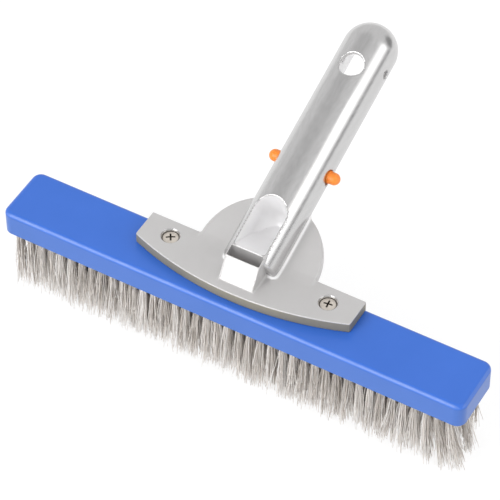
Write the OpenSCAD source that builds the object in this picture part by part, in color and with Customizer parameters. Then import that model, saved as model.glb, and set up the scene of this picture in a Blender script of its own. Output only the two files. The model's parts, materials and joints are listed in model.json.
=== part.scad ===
// Pool wall brush: wire bristles in a moulded back, held by a cast pole handle with a snap clip.
// Origin: centre of the bristle tips. X runs along the brush, +Y is behind it, +Z is up.

/* [Brush back] */
// Length of the moulded back
back_len = 254; // [250:1:260]
// Depth of the back, front to rear
back_w = 33; // [32:0.5:40]
// Height of the back
back_h = 13.5; // [13:0.5:18]
// Rounding of the top edges
top_round = 2.5; // [1:0.5:4]
// Rounding of the four upright corners
corner_round = 5; // [4:0.5:8]

/* [Bristles] */
// Free length of the wire bristles
bristle_len = 37.5; // [25:0.5:45]
// Tufts in a full row
tufts_per_row = 41; // [21:2:41]
// Distance between tufts along a row
tuft_pitch = 5.95; // [5.6:0.05:5.95]
// Distance between rows
row_pitch = 6.5; // [6:0.1:6.6]
// Diameter of a tuft where it leaves the back
tuft_root_d = 3.2; // [2.6:0.1:3.4]
// Diameter of a tuft at its trimmed tips
tuft_tip_d = 4.6; // [3.4:0.1:5.2]
// Depth of the tuft holes
tuft_hole_depth = 7.5; // [6.5:0.5:7.5]

/* [Handle plate] */
// Length of the plate along the back
plate_len = 118; // [110:1:130]
// Thickness of the plate
plate_t = 6; // [5.5:0.5:7]
// Depth of the plate at its square ends
plate_end_w = 16.3; // [15:0.1:18]
// How far the bowed front edge reaches past the ends
plate_bow = 11; // [8:0.5:12]
// Distance of the plate's rear edge behind the middle of the back
plate_rear = 15.6; // [15:0.1:16.5]
// Distance between the two screws
screw_spacing = 87; // [84:1:92]

/* [Pole tang] */
// Outer diameter of the tang, which goes inside the pole
tang_d = 28; // [27:0.1:28.5]
// Rise of the tang above the plate, in degrees
tang_tilt = 20; // [15:1:25]
// Distance along the axis from the plate's rear edge to the centre of the domed tip
tang_len = 117.4; // [110:0.2:125]
// Width of the cavity that opens under the tang
cavity_w = 19.2; // [18:0.2:19.4]
// Wall over the cavity
tang_wall = 2.5; // [2:0.1:3]
// Radius of the round lobe that joins the tang to the plate
lobe_r = 31.7; // [30:0.1:34]
// Diameter of the hanging hole near the tip
hang_hole_d = 12.6; // [10:0.2:13]

/* [Snap clip] */
// Diameter of the buttons
button_d = 6.2; // [5.8:0.1:6.4]
// Distance from the tang's axis to the tip of a button
button_reach = 19.4; // [18.5:0.1:20]
// Thickness of the spring strip
strip_t = 0.8; // [0.6:0.1:1]
// Width of the spring strip
strip_w = 9; // [8:0.5:9]

/* [Hidden] */
$fn = 64;

// Colours
back_blue = [0.10, 0.27, 0.75];
cast_grey = [0.76, 0.76, 0.77];
wire_grey = [0.62, 0.60, 0.57];
button_orange = [1.00, 0.45, 0.08];
steel_grey = [0.70, 0.69, 0.67];

// Levels of the stack, from the floor up
back_bottom = bristle_len;
back_top = back_bottom + back_h;
plate_top = back_top + plate_t;

// Tuft rows, front to rear; every second row is staggered by half a pitch
ROWS = 5;
anchor_t = 0.4;
anchor_bite = 0.3;
anchor_h = 1.6;
anchor_lift = 0.6;

// Screws: round heads in counterbores
screw_y = 6.2;
screw_turns = [32, 8];
recess_d = 8.6;
chamfer_d = 9.6;
chamfer_depth = 1;
recess_depth = 2.9;
head_d = 8.2;
head_h = 2.1;
head_dome_r = 14;
cross_len = 4.6;
cross_w = 0.9;
cross_depth = 1.3;
shank_d = 4;
thread_d = 4.4;
thread_pitch = 1.6;
shank_len = 8;
screw_point = 2;
screw_tip_r = 0.3;
ridge_h = 0.5;
pilot_gap = 0.3;
pilot_d = 4;
clearance_d = 4.6;

// Tang: its axis starts over the plate's rear edge
axis_rise = 10.3;
tang_r = tang_d / 2;
root_r = tang_r + 0.15;
pole_stop = 30;
land_end = 53;
foot_start = -10;
lobe_centre = -2;
lobe_top = -3.2;
lobe_t = 5;
cavity_r = cavity_w / 2;
cavity_centre = tang_r - tang_wall - cavity_r;
hang_hole_at = 101.7;
side_hole_d = 4.4;
side_hole_at = 108.2;
side_hole_lift = 1;

// Scoop cut into the tang's top over the plate
window_r = 8.6;
window_end = 24;
trough_floor = -11.5;
ramp_top_at = -6;
ramp_top_lift = 12;
ramp_foot_at = 15;

// Foot of the tang: a narrow block with a sloping front, a pocket behind it
foot_half_w = 9.4;
foot_front_low = -6.9;
foot_front_high = 0.1;
foot_height = 17.2;
face_half_w = 8.8;
face_inset = 0.5;
face_height = 16.3;
pocket_half_w = 8.8;
pocket_front = 0.9;
pocket_rear = 5.8;
pocket_floor = 2.5;

// Snap clip: a U of spring strip whose bend points to the tip
button_at = 48.2;
button_hole_d = 8.2;
button_hole_at = 47.7;
hinge_at = 86;
bend_r = 6.5;
leg_gap = 0.1;
tab_x = 7.9;
tab_start = 56;
tab_end = 42;
flange_d = 8.2;
flange_t = 0.5;
stub_d = 3.2;
stub_head_d = 4.6;
stub_head_t = 0.9;
stub_gap = 0.05;
collar_d = button_d + 0.4;
collar_end = root_r + 0.15;

// A big block for half-space cuts
FAR = 400;

// Row r of the tufts: staggered rows hold one tuft less
function row_count(r) = (r % 2 == 0) ? tufts_per_row : tufts_per_row - 1;
function row_y(r) = (r - (ROWS - 1) / 2) * row_pitch;
function tuft_x(i, count) = (i - (count - 1) / 2) * tuft_pitch;

// Places its children at every tuft of one row
module at_tufts(r) {
    count = row_count(r);
    for (i = [0 : count - 1]) {
        translate([tuft_x(i, count), row_y(r), 0]) children();
    }
}

// Half of the back's upright outline, with its top edge rounded
module edge_profile(half_w) {
    translate([0, back_bottom]) square([half_w, back_h - top_round]);
    translate([0, back_bottom]) square([half_w - top_round, back_h]);
    translate([half_w - top_round, back_top - top_round]) circle(r = top_round);
}

// The whole profile across a width
module rounded_profile(width) {
    edge_profile(width / 2);
    mirror([1, 0]) edge_profile(width / 2);
}

// Block with upright round corners and a rounded top edge all round
module rounded_block() {
    inner_x = back_len / 2 - corner_round;
    inner_y = back_w / 2 - corner_round;
    for (x = [-inner_x, inner_x]) {
        for (y = [-inner_y, inner_y]) {
            translate([x, y, 0]) rotate_extrude() edge_profile(corner_round);
        }
    }
    rotate([90, 0, 90]) translate([0, 0, -inner_x]) linear_extrude(2 * inner_x) rounded_profile(back_w);
    rotate([90, 0, 0]) translate([0, 0, -inner_y]) linear_extrude(2 * inner_y) rounded_profile(back_len);
}

// Moulded back with blind tuft holes and two blind pilot holes
module brush_back() {
    color(back_blue) difference() {
        rounded_block();
        for (r = [0 : ROWS - 1]) {
            at_tufts(r) translate([0, 0, back_bottom - 1])
                cylinder(d = tuft_root_d + 0.1, h = tuft_hole_depth + 1, $fn = 24);
        }
        at_screws([0, 0]) translate([0, 0, plate_top - recess_depth - shank_len - pilot_gap])
            cylinder(d = pilot_d, h = FAR);
    }
}

// Places its children at the two screws, turned about their axes
module at_screws(turns) {
    for (i = [0 : 1]) {
        translate([(i - 0.5) * screw_spacing, screw_y, 0]) rotate([0, 0, turns[i]]) children();
    }
}

// Two screws with a domed head, a cross recess and thread ridges
module mounting_screws() {
    core_r = shank_d / 2 - 0.2;
    ridges = floor((shank_len - 1) / thread_pitch);
    color(steel_grey) at_screws(screw_turns) translate([0, 0, plate_top - recess_depth]) difference() {
        union() {
            rotate_extrude() intersection() {
                square([head_d / 2, head_h]);
                translate([0, head_h - head_dome_r]) circle(r = head_dome_r, $fn = 180);
            }
            translate([0, 0, screw_point - shank_len]) cylinder(r = core_r, h = shank_len - screw_point + 0.1);
            translate([0, 0, -shank_len]) cylinder(r1 = screw_tip_r, r2 = core_r, h = screw_point + 0.01);
            for (i = [0 : ridges - 2]) {
                translate([0, 0, screw_point + ridge_h / 2 - shank_len + i * thread_pitch])
                    cylinder(r1 = core_r, r2 = thread_d / 2, h = ridge_h);
            }
        }
        for (turn = [0, 90]) {
            rotate([0, 0, turn]) translate([-cross_len / 2, -cross_w / 2, head_h - cross_depth])
                cube([cross_len, cross_w, FAR]);
        }
    }
}

// One row of wire tufts: a straight root in its hole and a frustum that flares to the tips
module bristle_row(r) {
    root_h = tuft_hole_depth - anchor_lift;
    slot_z = back_bottom + root_h - anchor_h;
    color(wire_grey) at_tufts(r) difference() {
        union() {
            cylinder(d1 = tuft_tip_d, d2 = tuft_root_d, h = bristle_len, $fn = 20);
            translate([0, 0, bristle_len - 0.01]) cylinder(d = tuft_root_d, h = root_h, $fn = 20);
        }
        translate([-tuft_root_d, -anchor_t / 2 - 0.05, slot_z]) cube([2 * tuft_root_d, anchor_t + 0.1, FAR]);
    }
}

// The flat wire anchors that pin one row of folded tufts into the back
module anchor_row(r) {
    anchor_w = tuft_root_d + 0.1 + 2 * anchor_bite;
    anchor_z = back_bottom + tuft_hole_depth - anchor_lift - anchor_h + 0.1;
    color(steel_grey) at_tufts(r) translate([-anchor_w / 2, -anchor_t / 2, anchor_z])
        cube([anchor_w, anchor_t, anchor_h]);
}

// Moves children into the tang's frame: local Z runs along its axis, local -Y points up from it
module tang_frame() {
    translate([0, plate_rear, back_top + axis_rise]) rotate([tang_tilt - 90, 0, 0]) children();
}

// Outline of the plate: square ends, straight rear edge, bowed front edge
module plate_outline() {
    half = plate_len / 2;
    front_end = plate_rear - plate_end_w;
    bow_r = (half * half + plate_bow * plate_bow) / (2 * plate_bow);
    intersection() {
        translate([-half, front_end - plate_bow]) square([plate_len, plate_end_w + plate_bow]);
        translate([0, front_end - plate_bow + bow_r]) circle(r = bow_r, $fn = 360);
    }
}

// Round lobe in the plane of the tang
module lobe() {
    intersection() {
        tang_frame() rotate([90, 0, 0]) translate([0, lobe_centre, lobe_top - lobe_t])
            cylinder(r = lobe_r, h = lobe_t, $fn = 96);
        translate([-FAR / 2, plate_rear - 8, back_top]) cube(FAR);
    }
}

// Solid root of the tang, up to where the pole stops
module tang_root() {
    tang_frame() translate([0, 0, foot_start]) cylinder(r = root_r, h = pole_stop - foot_start, $fn = 96);
}

// Outside of the tang past there: a short land, the straight part and the domed tip
module tang_outside() {
    tang_frame() {
        translate([0, 0, pole_stop]) cylinder(r = root_r, h = land_end - pole_stop, $fn = 96);
        translate([0, 0, pole_stop]) cylinder(r = tang_r, h = tang_len - pole_stop, $fn = 96);
        translate([0, 0, tang_len]) sphere(r = tang_r, $fn = 96);
    }
}

// Narrow block under the tang's front end, with the sloping front
module foot_block() {
    translate([-foot_half_w, 0, back_top]) rotate([90, 0, 90]) linear_extrude(2 * foot_half_w)
        polygon([[foot_front_low - 0.5, plate_t - 1], [foot_front_low, plate_t],
                 [foot_front_high, foot_height], [8, foot_height + 2.6], [12, foot_height], [12, 0], [0, 0]]);
}

// Scoop in the tang's top: straight walls, a round floor with a ball end, and a ramp up to the foot
module trough() {
    ball_at = window_end - window_r;
    floor_y = -trough_floor - window_r;
    tang_frame() intersection() {
        union() {
            translate([0, floor_y, ramp_top_at]) cylinder(r = window_r, h = ball_at - ramp_top_at);
            translate([-window_r, -FAR, ramp_top_at]) cube([2 * window_r, FAR + floor_y, ball_at - ramp_top_at]);
            translate([0, floor_y, ball_at]) rotate([90, 0, 0]) cylinder(r = window_r, h = FAR);
            translate([0, floor_y, ball_at]) sphere(r = window_r);
        }
        rotate([0, -90, 0]) translate([0, 0, -FAR / 2]) linear_extrude(FAR)
            polygon([[ramp_top_at, -ramp_top_lift], [ramp_foot_at, -trough_floor + 0.2],
                     [FAR, -trough_floor + 0.2], [FAR, -FAR], [ramp_top_at, -FAR]]);
    }
}

// Cavity that opens all along the underside of the tang
module cavity() {
    cavity_len = tang_len - pole_stop + 1;
    tang_frame() {
        translate([0, -cavity_centre, pole_stop - 1]) cylinder(r = cavity_r, h = cavity_len);
        translate([-cavity_r, -cavity_centre, pole_stop - 1]) cube([cavity_w, FAR, cavity_len]);
        translate([0, -cavity_centre, tang_len]) sphere(r = cavity_r);
        translate([0, -cavity_centre, tang_len]) rotate([-90, 0, 0]) cylinder(r = cavity_r, h = FAR);
    }
}

// Pocket behind the sloping front face, and the shallow inset of that face
module foot_pocket() {
    translate([-pocket_half_w, pocket_front, plate_top + pocket_floor])
        cube([2 * pocket_half_w, pocket_rear - pocket_front, FAR]);
    slope = (foot_front_high - foot_front_low) / (foot_height - plate_t);
    inset_low = foot_front_low + face_inset;
    inset_high = inset_low + slope * (face_height - plate_t);
    translate([-face_half_w, 0, back_top]) rotate([90, 0, 90]) linear_extrude(2 * face_half_w)
        polygon([[-FAR, plate_t], [inset_low, plate_t], [inset_high, face_height],
                 [pocket_front + 0.1, face_height], [pocket_front + 0.1, FAR], [-FAR, FAR]]);
}

// Handle casting, first part: plate, lobe, foot and the solid root of the tang
module handle_plate() {
    color(cast_grey) difference() {
        union() {
            translate([0, 0, back_top]) linear_extrude(plate_t) plate_outline();
            lobe();
            tang_root();
            foot_block();
        }
        translate([-FAR / 2, -FAR / 2, back_top - FAR]) cube(FAR);
        trough();
        foot_pocket();
        at_screws([0, 0]) {
            cylinder(d = clearance_d, h = FAR);
            translate([0, 0, plate_top - recess_depth]) cylinder(d = recess_d, h = FAR);
            translate([0, 0, plate_top - chamfer_depth]) cylinder(d1 = recess_d, d2 = chamfer_d, h = chamfer_depth);
            translate([0, 0, plate_top]) cylinder(d = chamfer_d, h = FAR);
        }
    }
}

// Handle casting, second part: the tang that goes inside the pole
module pole_tang() {
    color(cast_grey) difference() {
        tang_outside();
        cavity();
        tang_frame() {
            translate([0, -cavity_centre, hang_hole_at]) rotate([90, 0, 0]) cylinder(d = hang_hole_d, h = FAR);
            translate([-FAR / 2, -side_hole_lift, side_hole_at]) rotate([0, 90, 0])
                cylinder(d = side_hole_d, h = FAR, $fn = 32);
            translate([-FAR / 2, 0, button_hole_at]) rotate([0, 90, 0]) cylinder(d = button_hole_d, h = FAR);
        }
    }
}

// Half turn of strip at the closed end of the U
module spring_bend() {
    bend_start = hinge_at + strip_t / 2 + leg_gap;
    color(steel_grey) tang_frame() translate([0, strip_w / 2, bend_start]) rotate([90, 0, 0])
        linear_extrude(strip_w) intersection() {
            difference() {
                circle(r = bend_r + strip_t / 2);
                circle(r = bend_r - strip_t / 2);
            }
            translate([-FAR / 2, 0]) square(FAR);
        }
}

// Right leg of the U: a strip with a round end at the bend and a straight tab beside the wall
module spring_leg() {
    low = bend_r - strip_t / 2;
    tang_frame() difference() {
        translate([0, strip_w / 2, 0]) rotate([90, 0, 0]) linear_extrude(strip_w) {
            polygon([[low, hinge_at], [tab_x, tab_start], [tab_x, tab_end],
                     [tab_x + strip_t, tab_end], [tab_x + strip_t, tab_start], [low + strip_t, hinge_at]]);
            translate([bend_r, hinge_at]) circle(d = strip_t);
        }
        translate([0, 0, button_at]) rotate([0, 90, 0]) cylinder(d = stub_d + 2 * stub_gap, h = FAR);
    }
}

// Right button: round-ended pin on a collar that stays inside the tang's wall, a flange
// that rests on the tab, and a headed stub through it
module button() {
    dome_x = button_reach - button_d / 2;
    tab_outer = tab_x + strip_t;
    tang_frame() translate([0, 0, button_at]) rotate([0, 90, 0]) {
        translate([0, 0, tab_outer]) cylinder(d = collar_d, h = collar_end - tab_outer);
        translate([0, 0, tab_outer]) cylinder(d = button_d, h = dome_x - tab_outer);
        translate([0, 0, dome_x]) sphere(d = button_d);
        translate([0, 0, tab_outer]) cylinder(d = flange_d, h = flange_t);
        translate([0, 0, tab_x - stub_head_t]) cylinder(d = stub_d, h = strip_t + stub_head_t + 0.1);
        translate([0, 0, tab_x - stub_head_t]) cylinder(d = stub_head_d, h = stub_head_t);
    }
}

module spring_leg_right() { color(steel_grey) spring_leg(); }
module spring_leg_left() { color(steel_grey) mirror([1, 0, 0]) spring_leg(); }
module button_right() { color(button_orange) button(); }
module button_left() { color(button_orange) mirror([1, 0, 0]) button(); }

brush_back();
handle_plate();
pole_tang();
mounting_screws();
bristle_row(0);  // bristles_row_1
bristle_row(1);  // bristles_row_2
bristle_row(2);  // bristles_row_3
bristle_row(3);  // bristles_row_4
bristle_row(4);  // bristles_row_5
anchor_row(0);  // anchors_row_1
anchor_row(1);  // anchors_row_2
anchor_row(2);  // anchors_row_3
anchor_row(3);  // anchors_row_4
anchor_row(4);  // anchors_row_5
spring_bend();
spring_leg_left();
spring_leg_right();
button_left();
button_right();
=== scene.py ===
import json
import math

import bpy
import numpy as np
from mathutils import Matrix, Vector


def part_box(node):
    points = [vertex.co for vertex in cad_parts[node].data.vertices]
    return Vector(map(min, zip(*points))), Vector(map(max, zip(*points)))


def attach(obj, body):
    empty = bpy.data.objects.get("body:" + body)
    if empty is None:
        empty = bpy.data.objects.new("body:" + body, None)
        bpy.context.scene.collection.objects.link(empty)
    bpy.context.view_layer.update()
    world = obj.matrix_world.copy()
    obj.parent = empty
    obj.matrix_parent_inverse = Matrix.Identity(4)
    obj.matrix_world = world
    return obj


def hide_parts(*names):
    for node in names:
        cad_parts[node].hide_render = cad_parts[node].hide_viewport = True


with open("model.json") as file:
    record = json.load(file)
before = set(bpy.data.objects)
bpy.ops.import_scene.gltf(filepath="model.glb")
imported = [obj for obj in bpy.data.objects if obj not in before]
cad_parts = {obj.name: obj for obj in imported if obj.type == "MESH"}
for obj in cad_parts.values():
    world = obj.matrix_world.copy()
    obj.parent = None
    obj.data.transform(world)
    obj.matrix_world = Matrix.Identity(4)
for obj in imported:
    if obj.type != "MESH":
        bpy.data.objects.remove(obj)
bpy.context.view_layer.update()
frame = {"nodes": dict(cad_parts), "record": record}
rng = np.random.default_rng(7)
MM = 0.001
ROOT = "brush"


# ---------------------------------------------------------------- measures from the CAD frame, in mm
def box_mm(node):
    """Lowest and highest corner of a CAD node at rest."""
    lo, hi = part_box(node)
    return np.array(lo) / MM, np.array(hi) / MM


MOUNTS = {m["name"]: m for m in frame["record"]["mounts"]}


def along_tang(name):
    """Distance of a mount along the tang's axis from the plate's rear edge."""
    return float((np.array(MOUNTS[name]["pos_m"]) / MM - T0) @ AXIS)


AXIS = np.array(MOUNTS["pole_socket_end"]["axis"], float)
AXIS /= np.linalg.norm(AXIS)
UP = np.array([0.0, -AXIS[2], AXIS[1]])
TANG_R = MOUNTS["pole_socket_end"]["dims"]["r_mm"]
TUFT_PITCH = 5.95
back_lo, back_hi = box_mm("brush_back")
plate_lo, plate_hi = box_mm("handle_plate")
tang_lo, tang_hi = box_mm("pole_tang")
cast_lo, cast_hi = np.minimum(plate_lo, tang_lo), np.maximum(plate_hi, tang_hi)
PLATE_T = 6.0
PLATE_HALF = plate_hi[0]
BACK_TOP = back_hi[2]
PLATE_TOP = BACK_TOP + PLATE_T
PLATE_REAR = 15.6
PLATE_FRONT = plate_lo[1]
T0 = np.array([0.0, PLATE_REAR, BACK_TOP + 10.3])
TIP = along_tang("pole_socket_end") + MOUNTS["pole_socket_end"]["dims"]["length_mm"] / 2
HOLE_AT = along_tang("hanging_hole")
HOLE_R = MOUNTS["hanging_hole"]["dims"]["r_mm"]
BUTTON_AT = along_tang("lock_button_right") - 0.5
screws_lo, screws_hi = box_mm("mounting_screws")
HEAD_R = 4.1
SCREW_X = screws_hi[0] - HEAD_R
SCREW_Y = (screws_lo[1] + screws_hi[1]) / 2
HEAD_TOP = screws_hi[2]
DOME_R = 14.0
# width of the painted highlight along the top edges of the back
HIGHLIGHT_W = 1.5

# the casting's own sizes; s runs along the tang from the plate's rear edge, n is upward from its axis
PLATE_END_DEPTH = 16.3
LOBE_R, LOBE_AT, LOBE_HALF_T, LOBE_N = 31.7, -2.0, 2.5, -5.7
TANG_START = -9.6
FLAT_AT, FLAT_DEPTH = math.radians(39), 0.08
FLAT_END_S, FLAT_FADE = 100.0, 20.0
BLOCK_HALF, BLOCK_RISE, BLOCK_REAR = 9.4, 11.2, 12.0
INSET_HALF = 8.85
FACE_COS, FACE_SIN = 0.848, 0.530
SCOOP_R, SCOOP_N, SCOOP_END = 8.6, -2.9, 15.4
SCOOP_FLOOR = -11.5
CAVITY_R, CAVITY_N, POLE_STOP = 9.6, 1.9, 30.0
CROSS_HOLE_R, CROSS_HOLE_S, CROSS_HOLE_N = 2.2, 108.2, 1.0
BUTTON_HOLE_R = 4.1
SEAT_R, SEAT_DEPTH = 4.3, 2.9
CHAMFER_R, CHAMFER_DEPTH = 4.8, 1.0
SCREW_HOLE_R = 2.3
CAST_STEP = 0.605

# wires: number in a tuft, lengthwise steps, radius, bundles in a tuft, and the radius of a tuft's root
WIRES, LEVELS, WIRE_R, BUNDLES, ROOT_R = 82, 6, 0.165, 9, 1.55
ANCHOR_HALF = 1.95
# how far the last tufts on the right lean outward at their tips, from the front row to the rear one
SPLAY = (6.5, 5.5, 4.0, 2.0, 0.3)


# ---------------------------------------------------------------- signed distances, in mm
def hyp(a, b):
    return np.sqrt(a * a + b * b)


def join(a, b, r):
    """Union with a fillet of radius r."""
    return np.maximum(np.minimum(a, b), r) - hyp(np.maximum(r - a, 0), np.maximum(r - b, 0))


def both(a, b, r):
    """Intersection with its edge rounded to radius r."""
    return np.minimum(np.maximum(a, b), -r) + hyp(np.maximum(r + a, 0), np.maximum(r + b, 0))


def cut(a, b, r):
    """a with b taken out, the edge rounded to radius r."""
    return both(a, -b, r)


def ease(t):
    """Smooth step of t, which is already between 0 and 1."""
    return t * t * (3 - 2 * t)


def tang_coordinates(y, z):
    """Distance along the tang from the plate's rear edge, and height over its axis."""
    dy, dz = y - T0[1], z - T0[2]
    return dy * AXIS[1] + dz * AXIS[2], dy * UP[1] + dz * UP[2]


def casting(x, y, z, parts=False):
    """The one-piece handle: plate, lobe, tang, foot and everything cut out of them.

    With parts it also returns the distances that its finish follows.
    """
    ax = np.abs(x)
    s, n = tang_coordinates(y, z)
    bow = PLATE_REAR - PLATE_END_DEPTH - PLATE_FRONT
    bow_r = (PLATE_HALF * PLATE_HALF + bow * bow) / (2 * bow)
    bowed = hyp(x, y - (PLATE_FRONT + bow_r)) - bow_r
    outline = both(both(ax - PLATE_HALF, y - PLATE_REAR, 0.5), bowed, 0.4)
    plate = both(outline, np.abs(z - BACK_TOP - PLATE_T / 2) - PLATE_T / 2, 0.35)
    lobe = both(hyp(x, s - LOBE_AT) - LOBE_R, np.abs(n - LOBE_N) - LOBE_HALF_T, 0.7)
    lobe = both(lobe, 8.0 - y, 0.3)
    body = join(plate, lobe, 1.2)

    tube = hyp(x, n) - TANG_R
    tube = np.where(s > TIP, np.sqrt(x * x + n * n + np.maximum(s - TIP, 0) ** 2) - TANG_R, tube)
    # a slight flat along the right shoulder that dies out before the hole
    flat_depth = FLAT_DEPTH * ease(np.clip((FLAT_END_S - s) / FLAT_FADE, 0, 1))
    flat = x * math.sin(FLAT_AT) + n * math.cos(FLAT_AT) - TANG_R + flat_depth
    outside = both(np.maximum(tube, flat), TANG_START - s, 1.6)
    web = np.minimum(body, outside)
    body = join(body, outside, 2.2)

    # block at the foot: its face leans back, its top follows the tang, and it narrows towards the rear
    slope = (y + 6.9) * FACE_COS - (z - PLATE_TOP) * FACE_SIN
    narrow = 0.9 * ease(np.clip((y - 3.5) / 8.5, 0, 1))
    top = z - (PLATE_TOP + BLOCK_RISE + 0.345 * (y - 0.1))
    block = both(both(ax - BLOCK_HALF + narrow, -slope, 0.5), top, 0.8)
    block = both(block, y - BLOCK_REAR, 0.5)
    body = join(body, block, 0.9)

    # scoop over the plate: straight walls, round floor, ball end, and a ramp up to the foot
    below, past = n - SCOOP_N, s - SCOOP_END
    round_floor = hyp(x, below) - SCOOP_R
    u_cut = np.where(below < 0, round_floor, ax - SCOOP_R)
    ball = np.where(below < 0, np.sqrt(x * x + below ** 2 + past ** 2), hyp(x, past)) - SCOOP_R
    trough = np.where(past < 0, u_cut, ball)
    ramp = ((s + 6) * 23.7 + (n - 12) * 21.0) / math.hypot(23.7, 21.0)
    trough = np.maximum(trough, both(SCOOP_FLOOR - n, -ramp, 6.0))
    trough = np.maximum(trough, -6 - s)
    body = cut(body, trough, 0.15)

    # cavity, open below
    over = n - CAVITY_N
    bore = np.where(over < 0, ax, hyp(x, over)) - CAVITY_R
    end = np.where(over < 0, hyp(x, s - TIP), np.sqrt(x * x + (s - TIP) ** 2 + over ** 2)) - CAVITY_R
    bore = np.where(s > TIP, end, bore)
    bore = both(bore, POLE_STOP - s, 2.0)
    body = cut(body, bore, 0.6)

    # hanging hole, cross hole and the buttons' holes
    body = cut(body, both(hyp(x, s - HOLE_AT) - HOLE_R, 2.0 - n, 0.2), 0.35)
    body = cut(body, hyp(s - CROSS_HOLE_S, n - CROSS_HOLE_N) - CROSS_HOLE_R, 0.3)
    body = cut(body, hyp(s - BUTTON_AT, n) - BUTTON_HOLE_R, 0.35)

    # foot: pocket and inset face
    pocket = both(both(ax - INSET_HALF, np.abs(y - 3.15) - 2.65, 0.5), PLATE_TOP + 2.5 - z, 0.6)
    body = cut(body, pocket, 0.15)
    face = both(both(ax - INSET_HALF, slope - 0.4, 0.15), z - (PLATE_TOP + 10.8), 0.2)
    face = both(face, PLATE_TOP + 0.05 - z, 0.2)
    body = cut(body, face, 0.12)

    # screws: clearance and counterbore with a chamfer
    rs = hyp(ax - SCREW_X, y - SCREW_Y)
    depth = PLATE_TOP - z
    chamfer = np.maximum((rs - CHAMFER_R + 0.5 * depth) * 0.9, depth - CHAMFER_DEPTH)
    seat = np.minimum(np.maximum(rs - SEAT_R, depth - SEAT_DEPTH), chamfer)
    body = cut(body, seat, 0.15)
    body = cut(body, rs - SCREW_HOLE_R, 0.1)
    body = np.maximum(body, BACK_TOP - z)
    if not parts:
        return body
    return body, outside, np.minimum(trough, bore), outline, seat, web


def graded(lo, hi, step, coarse, spans):
    """Grid lines from lo to hi, closer or wider inside the spans (start, end, factor)."""
    lines = [lo]
    while lines[-1] < hi or (len(lines) - 1) % coarse:
        factor = min((f for a, b, f in spans if a <= lines[-1] < b), default=1.0)
        lines.append(lines[-1] + step * factor)
    return np.array(lines)


def surface(field, lo, hi, step, spans):
    """Mesh of a signed distance: one vertex per cell that the surface crosses, moved onto it."""
    coarse = 4
    lines = [graded(lo[i], hi[i], step, coarse, spans[i]) for i in range(3)]
    cells = np.array([(len(v) - 1) // coarse for v in lines])
    grid = field(*np.meshgrid(*(v[::coarse] for v in lines), indexing="ij"))
    reach = step * coarse * 1.9
    near = np.abs(grid) < reach
    keep = np.zeros(cells, bool)
    for i in (0, 1):
        for j in (0, 1):
            for k in (0, 1):
                keep |= near[i:cells[0] + i, j:cells[1] + j, k:cells[2] + k]
    fine = cells * coarse
    inside = np.zeros(fine + 1, bool)
    inside[:-1, :-1, :-1] = np.kron(grid[:-1, :-1, :-1] < 0, np.ones((coarse,) * 3, bool))
    cx, cy, cz = np.nonzero(keep)
    off = np.arange(coarse + 1)
    ox, oy, oz = (a.ravel() for a in np.meshgrid(off, off, off, indexing="ij"))
    for part in np.array_split(np.arange(len(cx)), max(1, len(cx) // 8000)):
        ix = cx[part, None] * coarse + ox
        iy = cy[part, None] * coarse + oy
        iz = cz[part, None] * coarse + oz
        inside[ix, iy, iz] = field(lines[0][ix], lines[1][iy], lines[2][iz]) < 0
    total = np.zeros(fine, np.int8)
    for i in (0, 1):
        for j in (0, 1):
            for k in (0, 1):
                total += inside[i:fine[0] + i, j:fine[1] + j, k:fine[2] + k]
    active = (total > 0) & (total < 8)
    index = np.full(fine, -1, np.int64)
    index[active] = np.arange(active.sum())
    place = np.argwhere(active)
    p = np.stack([(lines[i][place[:, i]] + lines[i][place[:, i] + 1]) / 2 for i in range(3)], 1)
    faces = []
    for a in range(3):
        b, d = (a + 1) % 3, (a + 2) % 3
        first = inside[tuple(slice(0, -1) if q == a else slice(1, -1) for q in range(3))]
        second = inside[tuple(slice(1, None) if q == a else slice(1, -1) for q in range(3))]
        where = np.argwhere(first != second)
        goes_out = first[tuple(where.T)]
        base = where.copy()
        base[:, b] += 1
        base[:, d] += 1
        ring = []
        for db, dd in ((0, 0), (1, 0), (1, 1), (0, 1)):
            q = base.copy()
            q[:, b] -= 1 - db
            q[:, d] -= 1 - dd
            ring.append(index[tuple(q.T)])
        quad = np.stack(ring, 1)
        quad = np.where(goes_out[:, None], quad, quad[:, ::-1])
        faces.append(quad)
    faces = np.concatenate(faces)
    for _ in range(6):
        f = field(*p.T)
        g = gradient(field, p)
        move = g * (f / np.maximum((g * g).sum(1), 0.05))[:, None]
        length = np.linalg.norm(move, axis=1, keepdims=True)
        p = p - move * np.minimum(1, 0.5 * step / np.maximum(length, 1e-9))
    return p, faces


def gradient(field, p, e=0.01):
    """Central differences of a field at points p."""
    g = np.empty_like(p)
    for i in range(3):
        d = np.zeros(3)
        d[i] = e
        g[:, i] = (field(*(p + d).T) - field(*(p - d).T)) / (2 * e)
    return g


def mesh_piece(name, points_mm, faces, material, stands_for):
    """A smooth-shaded piece on the brush's body that stands for the CAD nodes named."""
    mesh = bpy.data.meshes.new(name)
    points = np.asarray(points_mm, float) * MM
    faces = np.asarray(faces)
    mesh.vertices.add(len(points))
    mesh.vertices.foreach_set("co", points.astype(np.float32).ravel())
    count, sides = faces.shape
    mesh.loops.add(count * sides)
    mesh.loops.foreach_set("vertex_index", faces.astype(np.int32).ravel())
    mesh.polygons.add(count)
    mesh.polygons.foreach_set("loop_start", np.arange(0, count * sides, sides, dtype=np.int32))
    mesh.polygons.foreach_set("use_smooth", np.full(count, True))
    mesh.update(calc_edges=True)
    mesh.validate()
    obj = bpy.data.objects.new(name, mesh)
    bpy.context.scene.collection.objects.link(obj)
    mesh.materials.append(material)
    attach(obj, ROOT)
    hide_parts(*stands_for)
    return obj


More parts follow.
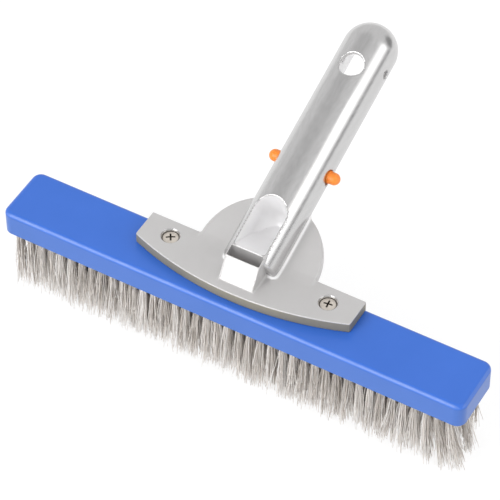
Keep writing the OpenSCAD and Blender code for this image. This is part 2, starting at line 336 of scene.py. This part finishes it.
# ---------------------------------------------------------------- materials
class Nodes:
    """A short way to write a node tree."""

    def __init__(self, name):
        self.material = bpy.data.materials.new(name)
        self.material.use_nodes = True
        self.tree = self.material.node_tree
        self.shader = self.tree.nodes["Principled BSDF"]

    def add(self, kind, values=None, links=None, **settings):
        node = self.tree.nodes.new(kind)
        for key, value in settings.items():
            setattr(node, key, value)
        for key, value in (values or {}).items():
            node.inputs[key].default_value = value
        for key, source in (links or {}).items():
            self.tree.links.new(source, node.inputs[key])
        return node

    def set(self, **values):
        for key, value in values.items():
            self.shader.inputs[key.replace("_", " ")].default_value = value

    def link(self, source, socket):
        self.tree.links.new(source, self.shader.inputs[socket])

    def place(self, scale=(1, 1, 1), rotation=(0, 0, 0)):
        where = self.add("ShaderNodeTexCoord").outputs["Object"]
        values = {"Scale": scale, "Rotation": rotation}
        return self.add("ShaderNodeMapping", values, {"Vector": where}).outputs[0]

    def axes(self):
        where = self.add("ShaderNodeTexCoord").outputs["Object"]
        return self.add("ShaderNodeSeparateXYZ", links={"Vector": where}).outputs

    def noise(self, vector, scale, detail=3, roughness=0.55):
        return self.add("ShaderNodeTexNoise", {"Scale": scale, "Detail": detail, "Roughness": roughness},
                        {"Vector": vector}).outputs["Fac"]

    def ramp(self, fac, stops):
        node = self.add("ShaderNodeValToRGB", links={"Fac": fac})
        elements = node.color_ramp.elements
        for i, (at, color) in enumerate(stops):
            e = elements[i] if i < 2 else elements.new(at)
            e.position = at
            e.color = (*color, 1) if hasattr(color, "__len__") else (color, color, color, 1)
        return node.outputs["Color"]

    def mix(self, fac, first, second):
        node = self.add("ShaderNodeMix", data_type="RGBA")
        for socket, source in zip((0, 6, 7), (fac, first, second)):
            self.tree.links.new(source, node.inputs[socket])
        return node.outputs[2]

    def math(self, operation, a, b, clamp=False):
        node = self.add("ShaderNodeMath", operation=operation, use_clamp=clamp)
        for i, v in enumerate((a, b)):
            if isinstance(v, (int, float)):
                node.inputs[i].default_value = v
            else:
                self.tree.links.new(v, node.inputs[i])
        return node.outputs[0]

    def bump(self, height, strength, distance):
        node = self.add("ShaderNodeBump", {"Strength": strength, "Distance": distance}, {"Height": height})
        self.tree.links.new(node.outputs[0], self.shader.inputs["Normal"])


TILT = math.atan2(AXIS[2], AXIS[1])


def aluminium():
    """Satin casting: polished tang; hollows in a duller, unpolished cast finish, painted paler as painted
    light; the fillet beside the tang painted paler as painted light; the sides less metallic and painted
    darker as painted shade; and painted shade in the screw seats and in thin dark lines.
    """
    m = Nodes("cast_aluminium")
    polish, hollow, painted_shade, side = (m.add("ShaderNodeAttribute", attribute_name=name).outputs["Fac"]
                                    for name in ("polish", "hollow", "painted_shade", "side"))
    streaks = m.noise(m.place((700, 14, 700), (-TILT, 0, 0)), 1.0, 3, 0.6)
    cloud = m.noise(m.place(), 40, 4, 0.6)
    grain = m.noise(m.place(), 1100, 2, 0.6)
    satin = m.ramp(cloud, [(0.3, (0.61, 0.60, 0.597)), (0.7, (0.65, 0.64, 0.637))])
    bright = m.ramp(streaks, [(0.25, (0.555, 0.55, 0.55)), (0.75, (0.615, 0.61, 0.61))])
    # pale colour: the hollows' unpolished cast finish in part and painted light in part; on the fillet
    # beside the tang it is painted light
    raw_and_painted_light = m.ramp(cloud, [(0.3, (0.88, 0.875, 0.88)), (0.7, (0.94, 0.935, 0.94))])
    # painted shade: near-black colour for the screw seats and thin dark lines
    painted_shade_color = m.ramp(cloud, [(0.3, (0.11, 0.10, 0.085)), (0.7, (0.15, 0.135, 0.115))])
    # sides: painted shade, darker and warmer, on a less metallic finish
    side_finish_and_shade = m.ramp(cloud, [(0.3, (0.24, 0.22, 0.165)), (0.7, (0.29, 0.265, 0.20))])
    clean = m.mix(hollow, m.mix(polish, satin, bright), raw_and_painted_light)
    m.link(m.mix(painted_shade, m.mix(side, clean, side_finish_and_shade), painted_shade_color), "Base Color")
    satin_rough = m.ramp(grain, [(0.2, 0.46), (0.8, 0.54)])
    bright_rough = m.ramp(streaks, [(0.2, 0.19), (0.8, 0.27)])
    rough = m.mix(polish, satin_rough, bright_rough)
    m.link(m.mix(hollow, rough, m.ramp(cloud, [(0.2, 0.36), (0.8, 0.46)])), "Roughness")
    satin_metal = m.ramp(cloud, [(0.0, 0.60), (1.0, 0.64)])
    bright_metal = m.ramp(cloud, [(0.0, 0.95), (1.0, 0.98)])
    metal = m.mix(polish, satin_metal, bright_metal)
    metal = m.mix(hollow, metal, m.ramp(cloud, [(0.0, 0.24), (1.0, 0.30)]))
    m.link(m.mix(side, metal, m.ramp(cloud, [(0.0, 0.16), (1.0, 0.20)])), "Metallic")
    m.bump(m.math("ADD", m.math("MULTIPLY", grain, 0.35), m.math("MULTIPLY", streaks, 0.45)), 0.10, 0.0001)
    return m.material


def blue_plastic():
    """Moulded blue, with painted shade making the sides a little greyer and darker, and a painted highlight
    lightening the top's edges.
    """
    m = Nodes("back_plastic")
    cloud = m.noise(m.place(), 30, 3)
    where = m.axes()
    past = []
    for axis, reach in ((0, back_hi[0]), (1, back_hi[1]), (2, back_hi[2])):
        place = m.math("ABSOLUTE", where[axis], 0.0) if axis < 2 else where[axis]
        past.append(m.math("SUBTRACT", place, (reach - HIGHLIGHT_W) * MM))
    in_arc = m.math("MINIMUM", m.math("MAXIMUM", past[0], past[1]), past[2])
    # painted highlight: a lighter band along the top edges, its strength varied by noise
    painted_highlight = m.math("MULTIPLY", in_arc, 1 / (0.25 * HIGHLIGHT_W * MM), clamp=True)
    painted_highlight = m.math("MULTIPLY", painted_highlight, m.ramp(m.noise(m.place(), 90, 3), [(0.3, 0.55), (0.7, 1.0)]))
    # painted shade: the sides below the top get a greyer, darker blue
    side = m.math("MULTIPLY", past[2], -1 / (0.5 * MM), clamp=True)
    top_blue = m.ramp(cloud, [(0.3, (0.034, 0.148, 0.615)), (0.7, (0.040, 0.160, 0.65))])
    shaded_side_blue = m.ramp(cloud, [(0.3, (0.043, 0.137, 0.475)), (0.7, (0.050, 0.147, 0.505))])
    highlight_blue = m.ramp(cloud, [(0.3, (0.105, 0.215, 0.63)), (0.7, (0.12, 0.235, 0.67))])
    m.link(m.mix(painted_highlight, m.mix(side, top_blue, shaded_side_blue), highlight_blue), "Base Color")
    grain = m.noise(m.place(), 1400, 3)
    m.link(m.ramp(grain, [(0.2, 0.29), (0.8, 0.35)]), "Roughness")
    m.set(IOR=1.5)
    m.bump(grain, 0.02, 0.0001)
    return m.material


def wire():
    """Drawn wire, each a little lighter or darker at random, and painted lighter towards its tip as painted
    light.
    """
    m = Nodes("bristle_wire")
    tone_and_tip_light = m.add("ShaderNodeAttribute", attribute_name="tone_and_tip_light").outputs["Fac"]
    tones = [(0.0, (0.40, 0.355, 0.31)), (0.5, (0.84, 0.79, 0.745)), (1.0, (1.0, 0.98, 0.96))]
    m.link(m.ramp(tone_and_tip_light, tones), "Base Color")
    m.link(m.ramp(m.noise(m.place(), 900, 2), [(0.2, 0.36), (0.8, 0.50)]), "Roughness")
    m.set(Metallic=0.5)
    return m.material


def steel(name, color, rough):
    """Plain rolled steel."""
    m = Nodes(name)
    m.set(Metallic=1.0)
    grain = m.noise(m.place((300, 300, 300)), 3.0, 3)
    dark = tuple(0.9 * c for c in color)
    m.link(m.ramp(grain, [(0.3, dark), (0.7, color)]), "Base Color")
    m.link(m.ramp(grain, [(0.3, rough * 0.85), (0.7, rough * 1.15)]), "Roughness")
    m.bump(grain, 0.15, 0.0001)
    return m.material


def orange_plastic():
    """Moulded orange, faintly grained."""
    m = Nodes("button_plastic")
    cloud = m.noise(m.place(), 200, 3)
    m.link(m.ramp(cloud, [(0.3, (0.98, 0.265, 0.03)), (0.7, (1.0, 0.30, 0.045))]), "Base Color")
    m.link(m.ramp(cloud, [(0.3, 0.30), (0.7, 0.38)]), "Roughness")
    m.set(IOR=1.46)
    m.bump(m.noise(m.place(), 1800, 2), 0.08, 0.0001)
    return m.material


def screw_steel():
    """Plain steel with painted shade in the slot, beneath the head and in a dark ring round the head's outer
    edge.
    """
    m = Nodes("screw_steel")
    grain = m.noise(m.place((300, 300, 300)), 3.0, 3)
    where = m.axes()
    parts = (m.math("SUBTRACT", m.math("ABSOLUTE", where[0], 0.0), SCREW_X * MM),
             m.math("SUBTRACT", where[1], SCREW_Y * MM),
             m.math("SUBTRACT", where[2], (HEAD_TOP - DOME_R) * MM))
    squares = [m.math("MULTIPLY", v, v) for v in parts]
    radius = m.math("SQRT", m.math("ADD", m.math("ADD", squares[0], squares[1]), squares[2]), 0.0)
    # painted shade inside the head's dome: in the slot and beneath the head
    screw_shade = m.math("MULTIPLY", m.math("SUBTRACT", DOME_R * MM, radius), 1 / (0.5 * MM), clamp=True)
    across = m.math("SQRT", m.math("ADD", squares[0], squares[1]), 0.0)
    # painted shade in a ring round the head's outer edge
    rim_shade = m.math("MULTIPLY", m.math("SUBTRACT", across, (HEAD_R - 0.4) * MM), 0.75 / (0.25 * MM), clamp=True)
    screw_shade = m.math("MAXIMUM", screw_shade, m.math("MINIMUM", rim_shade, 0.75))
    head = m.ramp(grain, [(0.3, (0.68, 0.62, 0.55)), (0.7, (0.76, 0.70, 0.63))])
    screw_shade_color = m.ramp(grain, [(0.3, (0.055, 0.045, 0.035)), (0.7, (0.085, 0.07, 0.06))])
    m.link(m.mix(screw_shade, head, screw_shade_color), "Base Color")
    m.link(m.ramp(grain, [(0.3, 0.34), (0.7, 0.44)]), "Roughness")
    m.set(Metallic=0.75)
    m.bump(grain, 0.12, 0.0001)
    return m.material


ALUMINIUM = aluminium()
BLUE = blue_plastic()
WIRE = wire()
SCREW = screw_steel()
ANCHOR = steel("anchor_steel", (0.66, 0.66, 0.66), 0.35)
SPRING = steel("spring_steel", (0.70, 0.69, 0.67), 0.30)
ORANGE = orange_plastic()


# ---------------------------------------------------------------- pieces
def add_attribute(obj, name, values):
    """A number at each vertex that a material reads."""
    obj.data.attributes.new(name, "FLOAT", "POINT").data.foreach_set("value", values.astype(np.float32))


def build_casting():
    """The casting's mesh, finer around the screws and wider along the plain stretches of the tang."""
    reach, button_y, hole_y = 5.5, T0[1] + BUTTON_AT * AXIS[1], T0[1] + HOLE_AT * AXIS[1]
    x_spans = [(at - reach, at + reach, 0.5) for at in (-SCREW_X, SCREW_X)]
    y_spans = [(SCREW_Y - reach, SCREW_Y + reach, 0.5),
               (PLATE_REAR + 24, button_y - 7, 2.0),
               (button_y + 7, hole_y - 14, 2.0)]
    z_spans = [(PLATE_TOP - 3.4, PLATE_TOP + 0.4, 0.5)]
    p, faces = surface(casting, cast_lo - 1.3, cast_hi + 1.3, CAST_STEP, (x_spans, y_spans, z_spans))
    obj = mesh_piece("casting", p, faces, ALUMINIUM, ["handle_plate", "pole_tang"])
    _, outside, hollow, outline, seat, web = casting(*p.T, parts=True)

    def near(distance, full, none):
        """1 within full of a surface, 0 past none."""
        return np.clip((none - np.abs(distance)) / (none - full), 0, 1)

    z = p[:, 2]
    s, n = tang_coordinates(p[:, 1], p[:, 2])
    # painted shade and a less metallic finish on the plate's sides
    add_attribute(obj, "side", near(outline, 0.2, 0.5) * np.clip((PLATE_TOP - 0.35 - z) / 0.4, 0, 1))
    at_seat = near(seat, 0.08, 0.3)
    chamfer = at_seat * np.clip((z - PLATE_TOP + 1.1) / 0.2, 0, 1)
    add_attribute(obj, "polish", np.maximum(near(outside, 0.12, 0.42), chamfer))
    # pale hollows: unpolished cast finish in part, painted light in part
    inner = near(hollow, 0.15, 0.5) * np.clip((-outside - 0.3) / 0.6, 0, 1)
    # the fillet beside the tang, clear of the block, painted paler as painted light
    beside = np.clip((np.abs(p[:, 0]) - BLOCK_HALF - 0.9) / 0.6, 0, 1)
    fillet = np.clip((web - 0.1) / 0.25, 0, 1) * beside * (z > BACK_TOP + 2)
    add_attribute(obj, "hollow", np.maximum(inner, fillet))
    # painted shade in the screw seats below the chamfer
    seat_shade = at_seat * np.clip((PLATE_TOP - CHAMFER_DEPTH - z) / 0.3, 0, 1) * (z > BACK_TOP + 1)
    # thin dark lines of painted shade: round the scoop's lip, and along the flat's upper edge as far as the
    # buttons
    rim_shade = near(hollow, 0.1, 0.6) * near(outside, 0.1, 0.5) * (s < 40)
    around = np.arctan2(p[:, 0], n)
    edge = near((around - math.radians(33)) * TANG_R, 0.1, 0.6) * near(outside, 0.1, 0.3)
    edge *= np.clip((s - 14) / 4, 0, 1) * np.clip((75 - s) / 25, 0, 1)
    add_attribute(obj, "painted_shade", np.maximum.reduce([seat_shade, 0.28 * rim_shade, 0.30 * edge]))


def build_wires():
    """Rows of wires: each leaves its hole in the back, flares and ends near the floor."""
    z_top = back_lo[2] + 2.0
    t = np.linspace(0, 1, LEVELS + 1)
    for row in range(1, 6):
        node = f"bristles_row_{row}"
        lo, hi = box_mm(node)
        anchor_lo, anchor_hi = box_mm(f"anchors_row_{row}")
        first, last = anchor_lo[0] + ANCHOR_HALF, anchor_hi[0] - ANCHOR_HALF
        count = round((last - first) / TUFT_PITCH) + 1
        tuft_x = np.linspace(first, last, count)
        y0 = (lo[1] + hi[1]) / 2
        total = count * WIRES
        tuft = np.repeat(np.arange(count), WIRES)
        bundle = tuft * BUNDLES + rng.integers(BUNDLES, size=total)

        # the last tufts splay outward, most of all at the front right corner
        left = np.clip(1 - np.arange(count) / 3.0, 0, 1)
        right = left[::-1]
        lean = rng.normal(0, 0.5, (count, 2))
        lean[:, 0] += right * SPLAY[row - 1] - left * 0.4
        lean[:, 1] += (row - 3) * 0.4
        r = ROOT_R * np.sqrt(rng.random(total))
        a = rng.uniform(0, 2 * math.pi, total)
        root = np.stack([r * np.cos(a), r * np.sin(a)], 1)
        drift = rng.normal(0, 0.7, (count * BUNDLES, 2))
        tip = root * 1.6 + lean[tuft] + drift[bundle] + rng.normal(0, 0.9, (total, 2))
        stray = rng.random(total) < 0.12
        tip[stray] += rng.normal(0, 1.8, (stray.sum(), 2))
        short = np.abs(rng.normal(0, 4.2, total)) + rng.uniform(0, 1.5, count)[tuft]
        short += rng.uniform(0, 3.0, count * BUNDLES)[bundle]
        early = rng.random(total) < 0.36
        short[early] += rng.uniform(2, 14, early.sum())
        bend = rng.normal(0, 0.55, (total, 2)) + rng.normal(0, 0.25, (count * BUNDLES, 2))[bundle]

        curve = (t ** 1.35)[:, None]
        bow = np.sin(math.pi * t)[:, None]
        path = root[:, None] + (tip - root)[:, None] * curve + bend[:, None] * bow
        path[:, :, 0] += tuft_x[tuft][:, None]
        path[:, :, 1] += y0
        height = z_top + (short[:, None] + 0.05 - z_top) * t
        turn = rng.uniform(0, 2 * math.pi, total)[:, None] + np.arange(3) * 2 * math.pi / 3
        ring = np.empty((total, LEVELS + 1, 3, 3))
        ring[..., 0] = path[:, :, None, 0] + WIRE_R * np.cos(turn)[:, None]
        ring[..., 1] = path[:, :, None, 1] + WIRE_R * np.sin(turn)[:, None]
        ring[..., 2] = height[:, :, None]

        # side triangles and the two ends of one wire, then the same for all of them
        one = []
        for k in range(LEVELS):
            for q in range(3):
                b, c = 3 * k + q, 3 * k + (q + 1) % 3
                one += [(b, b + 3, c + 3), (b, c + 3, c)]
        foot = 3 * LEVELS
        one += [(0, 1, 2), (foot, foot + 2, foot + 1)]
        size = foot + 3
        faces = (np.array(one)[None] + np.arange(total)[:, None, None] * size).reshape(-1, 3)
        obj = mesh_piece(f"wires_row_{row}", ring.reshape(-1, 3), faces, WIRE, [node])
        tone_and_tip_light = 0.5 + rng.normal(0, 0.07, count)[tuft] + rng.normal(0, 0.12, count * BUNDLES)[bundle]
        # per-wire spread, plus painted light: each wire lighter towards its tip
        tone_and_tip_light = (tone_and_tip_light + rng.normal(0, 0.27, total))[:, None] + 0.25 * np.repeat(t, 3) ** 2
        add_attribute(obj, "tone_and_tip_light", np.clip(tone_and_tip_light, 0, 1).ravel())


def paint(node, material):
    """Gives a CAD node its material."""
    materials = frame["nodes"][node].data.materials
    materials.clear()
    materials.append(material)


build_casting()
build_wires()
paint("brush_back", BLUE)
paint("mounting_screws", SCREW)
for i in range(1, 6):
    paint(f"anchors_row_{i}", ANCHOR)
for part in ("spring_bend", "spring_leg_left", "spring_leg_right"):
    paint(part, SPRING)
paint("button_left", ORANGE)
paint("button_right", ORANGE)


# ---------------------------------------------------------------- stage, light, camera
def build_stage():
    """Plain pale floor, just below the wires."""
    mesh = bpy.data.meshes.new("floor")
    half = 6.0
    corners = [(-half, -half, 0), (half, -half, 0), (half, half, 0), (-half, half, 0)]
    mesh.from_pydata(corners, [], [(0, 1, 2, 3)])
    floor = bpy.data.objects.new("floor", mesh)
    floor.location.z = -0.0002
    bpy.context.scene.collection.objects.link(floor)
    m = Nodes("floor")
    m.set(Roughness=0.9)
    m.shader.inputs["Base Color"].default_value = (0.25, 0.25, 0.25, 1)
    m.shader.inputs["Emission Color"].default_value = (1, 1, 1, 1)
    m.shader.inputs["Emission Strength"].default_value = 0.80
    mesh.materials.append(m.material)


def build_world():
    """Studio surroundings: pale overall, with soft boxes to the right, in front and to the left."""
    world = bpy.data.worlds.new("studio")
    bpy.context.scene.world = world
    world.use_nodes = True
    tree = world.node_tree
    background = tree.nodes["Background"]
    coord = tree.nodes.new("ShaderNodeTexCoord")
    last = None

    def lobe_of(direction, inner, outer, strength):
        """A soft box: full strength within inner degrees of the direction, nothing past outer."""
        nonlocal last
        d = Vector(direction).normalized()
        dot = tree.nodes.new("ShaderNodeVectorMath")
        dot.operation = "DOT_PRODUCT"
        tree.links.new(coord.outputs["Generated"], dot.inputs[0])
        dot.inputs[1].default_value = d
        span = tree.nodes.new("ShaderNodeMapRange")
        span.interpolation_type = "SMOOTHSTEP"
        span.inputs["From Min"].default_value = math.cos(math.radians(outer))
        span.inputs["From Max"].default_value = math.cos(math.radians(inner))
        span.inputs["To Min"].default_value = 0.0
        span.inputs["To Max"].default_value = strength
        tree.links.new(dot.outputs["Value"], span.inputs["Value"])
        if last is None:
            last = span.outputs[0]
        else:
            add = tree.nodes.new("ShaderNodeMath")
            add.operation = "ADD"
            tree.links.new(last, add.inputs[0])
            tree.links.new(span.outputs[0], add.inputs[1])
            last = add.outputs[0]

    lobe_of((-0.34, -0.03, 0.94), 8, 38, -0.20)
    lobe_of((0.86, 0.12, 0.50), 8, 22, 1.4)
    lobe_of((0.93, 0.30, 0.00), 5, 14, -0.50)
    lobe_of((0.60, 0.75, 0.20), 10, 22, -0.55)
    lobe_of((-0.34, -0.77, 0.54), 8, 20, 5.0)
    lobe_of((-0.34, -0.92, 0.18), 10, 24, 1.9)
    base = tree.nodes.new("ShaderNodeMath")
    base.operation = "ADD"
    base.inputs[1].default_value = 0.86
    tree.links.new(last, base.inputs[0])
    tree.links.new(base.outputs[0], background.inputs["Strength"])
    background.inputs["Color"].default_value = (1.0, 1.0, 1.0, 1)


def build_camera():
    """Long lens from in front, to the right and above, turned by its roll about the line of sight."""
    data = bpy.data.cameras.new("camera")
    data.sensor_width = 36.0
    data.lens = 206.4
    data.clip_start, data.clip_end = 0.05, 50
    cam = bpy.data.objects.new("camera", data)
    bpy.context.scene.collection.objects.link(cam)
    azimuth, elevation, roll = math.radians(30.29), math.radians(47.63), math.radians(-0.45)
    level = math.cos(elevation)
    d = Vector((-math.sin(azimuth) * level, math.cos(azimuth) * level, -math.sin(elevation)))
    r0 = Vector((math.cos(azimuth), math.sin(azimuth), 0))
    u0 = r0.cross(d)
    r = math.cos(roll) * r0 + math.sin(roll) * u0
    u = -math.sin(roll) * r0 + math.cos(roll) * u0
    cam.matrix_world = Matrix((
        (r.x, u.x, -d.x, 0.4635), (r.y, u.y, -d.y, -0.7857), (r.z, u.z, -d.z, 1.0762), (0, 0, 0, 1)))
    bpy.context.scene.camera = cam


build_stage()
build_world()
build_camera()
bpy.context.scene.view_settings.view_transform = "Standard"
bpy.context.scene.view_settings.look = "None"
